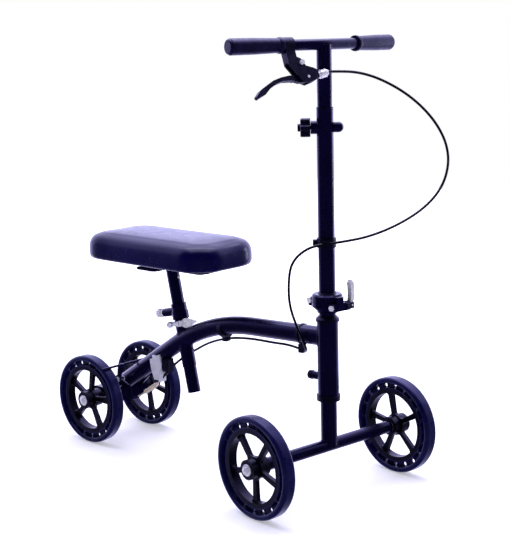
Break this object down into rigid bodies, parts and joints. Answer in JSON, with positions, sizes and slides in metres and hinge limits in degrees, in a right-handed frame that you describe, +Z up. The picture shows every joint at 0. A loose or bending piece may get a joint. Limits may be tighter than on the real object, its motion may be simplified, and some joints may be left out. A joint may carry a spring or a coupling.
{
  "type": "knee scooter",
  "caption": "Steerable four-wheeled knee scooter with a padded knee rest, a folding handlebar post of adjustable height and a hand-operated rear brake.",
  "frame": {"origin": "centre of the bounding box on the ground, midway between the rearmost and foremost points of the scooter", "axes": "+X forward in the riding direction, +Y to the rider's left, +Z up; the fork is stored turned 6.34 degrees to the right"},
  "size_m": [0.8234, 0.4199, 0.8506],
  "materials": {
    "frame_paint": "gloss powder coat, near-black navy",
    "black_plastic": "satin moulded",
    "rim_plastic": "satin moulded",
    "tyre": "smooth solid polyurethane, dark navy",
    "bearing_steel": "ground",
    "zinc_steel": "zinc plated",
    "chrome": "polished",
    "spring_steel": "dull plated",
    "grip_rubber": "satin",
    "pad_cover": "coated vinyl, dark navy",
    "board_wood": "raw plywood",
    "cable_casing": "gloss casing"
  },
  "bodies": {
    "frame": {"main_tube": "frame_paint", "head_tube": "frame_paint", "headset_cups": "black_plastic", "headset_bearings": "bearing_steel", "lock_housing": "frame_paint", "axle_housing": "frame_paint", "rear_axle": "zinc_steel", "frame_bolts": "zinc_steel", "brake_anchor": "zinc_steel", "seat_sleeve": "frame_paint", "seat_collar": "frame_paint", "seat_band": "zinc_steel", "cable_holders": "black_plastic", "cable_rear": "cable_casing", "cable_fork": "cable_casing"},
    "fork": {"steerer_tube": "frame_paint", "front_axle_tube": "frame_paint", "front_axle": "zinc_steel", "lower_flange": "frame_paint", "fold_bolts": "zinc_steel", "cam_body": "black_plastic", "cable_stem": "cable_casing"},
    "stem": {"upper_flange": "frame_paint", "outer_post": "frame_paint", "post_bushing": "black_plastic", "post_clip": "black_plastic", "dome_nut": "frame_paint", "cable_top": "cable_casing"},
    "height_knob": {"star_knob": "black_plastic"},
    "handlebar": {"inner_post": "frame_paint", "handlebar_tube": "frame_paint", "grip_left": "grip_rubber", "grip_right": "grip_rubber", "lever_bracket": "black_plastic", "lever_hardware": "zinc_steel"},
    "brake_lever": {"brake_lever": "black_plastic"},
    "fold_lever": {"cam_lever": "chrome"},
    "lock_pin": {"lock_pin": "black_plastic"},
    "seat": {"seat_post": "frame_paint", "seat_plate": "frame_paint", "pad_screws": "zinc_steel", "pad_board": "board_wood", "knee_pad": "pad_cover"},
    "seat_knob": {"seat_knob": "chrome"},
    "seat_lever": {"seat_lever": "chrome"},
    "brake_bar": {"brake_bar": "frame_paint"},
    "pull_rod": {"pull_rod": "spring_steel"},
    "wheel_front_left": {"rim_front_left": "rim_plastic", "tyre_front_left": "tyre", "bearings_front_left": "bearing_steel"},
    "wheel_front_right": {"rim_front_right": "rim_plastic", "tyre_front_right": "tyre", "bearings_front_right": "bearing_steel"},
    "wheel_rear_left": {"rim_rear_left": "rim_plastic", "tyre_rear_left": "tyre", "bearings_rear_left": "bearing_steel"},
    "wheel_rear_right": {"rim_rear_right": "rim_plastic", "tyre_rear_right": "tyre", "bearings_rear_right": "bearing_steel"}
  },
  "joints": [
    {"name": "steer", "type": "hinge", "parent": "frame", "child": "fork", "pos_m": [0.28131, 0, 0.264], "axis": [0, 0, 1], "range_deg": [-38.66, 51.34], "deforming": ["cable_fork"]},
    {"name": "fold", "type": "hinge", "parent": "fork", "child": "stem", "pos_m": [0.25348, 0.00309, 0.372], "axis": [0.1104, 0.9939, 0], "range_deg": [-60, 0], "deforming": ["cable_stem"]},
    {"name": "bar_height", "type": "slide", "parent": "stem", "child": "handlebar", "axis": [0, 0, 1], "range_m": [-0.06, 0.17], "deforming": ["cable_top"]},
    {"name": "height_knob_turn", "type": "hinge", "parent": "stem", "child": "height_knob", "pos_m": [0.25008, -0.02499, 0.6895], "axis": [0.7809, 0.6247, 0], "continuous": true},
    {"name": "brake_pull", "type": "hinge", "parent": "handlebar", "child": "brake_lever", "pos_m": [0.29008, -0.05798, 0.77944], "axis": [-0.8983, 0.2296, -0.3746], "range_deg": [0, 17], "stiffness_Nm_per_rad": 0.6, "springref_deg": -20.05},
    {"name": "brake_rock", "type": "hinge", "parent": "frame", "child": "brake_bar", "pos_m": [-0.26869, 0, 0.137], "axis": [0, -1, 0], "range_deg": [0, 2.22]},
    {"name": "brake_draw", "type": "slide", "parent": "frame", "child": "pull_rod", "axis": [0.8459, 0, 0.5333], "range_m": [0, 0.002]},
    {"name": "fold_lever_swing", "type": "hinge", "parent": "fork", "child": "fold_lever", "pos_m": [0.31356, 0.02761, 0.364], "axis": [-0.9939, 0.1104, 0], "range_deg": [0, 120]},
    {"name": "steer_lock_pull", "type": "slide", "parent": "frame", "child": "lock_pin", "axis": [-1, 0, 0], "range_m": [0, 0.006], "stiffness_N_per_m": 300, "springref_m": -0.004},
    {"name": "seat_height", "type": "slide", "parent": "frame", "child": "seat", "axis": [-0.2106, 0, 0.9776], "range_m": [-0.013, 0.088]},
    {"name": "seat_knob_turn", "type": "hinge", "parent": "frame", "child": "seat_knob", "pos_m": [-0.16514, 0, 0.28947], "axis": [0.9776, 0, 0.2106], "continuous": true},
    {"name": "seat_lever_swing", "type": "hinge", "parent": "frame", "child": "seat_lever", "pos_m": [-0.08714, -0.021, 0.28116], "axis": [0.2106, 0, -0.9776], "range_deg": [0, 110]},
    {"name": "wheel_front_left_roll", "type": "hinge", "parent": "fork", "child": "wheel_front_left", "pos_m": [0.30141, 0.18089, 0.095], "axis": [0.1104, 0.9939, 0], "continuous": true},
    {"name": "wheel_front_right_roll", "type": "hinge", "parent": "fork", "child": "wheel_front_right", "pos_m": [0.26121, -0.18089, 0.095], "axis": [0.1104, 0.9939, 0], "continuous": true},
    {"name": "wheel_rear_left_roll", "type": "hinge", "parent": "frame", "child": "wheel_rear_left", "pos_m": [-0.31669, 0.083, 0.095], "axis": [0, 1, 0], "continuous": true},
    {"name": "wheel_rear_right_roll", "type": "hinge", "parent": "frame", "child": "wheel_rear_right", "pos_m": [-0.31669, -0.083, 0.095], "axis": [0, 1, 0], "continuous": true}
  ],
  "couplings": [
    {"joint": "brake_rock", "follows": "brake_pull", "ratio": 0.11765},
    {"joint": "brake_draw", "follows": "brake_pull", "m_per_rad": 0.0059655}
  ]
}
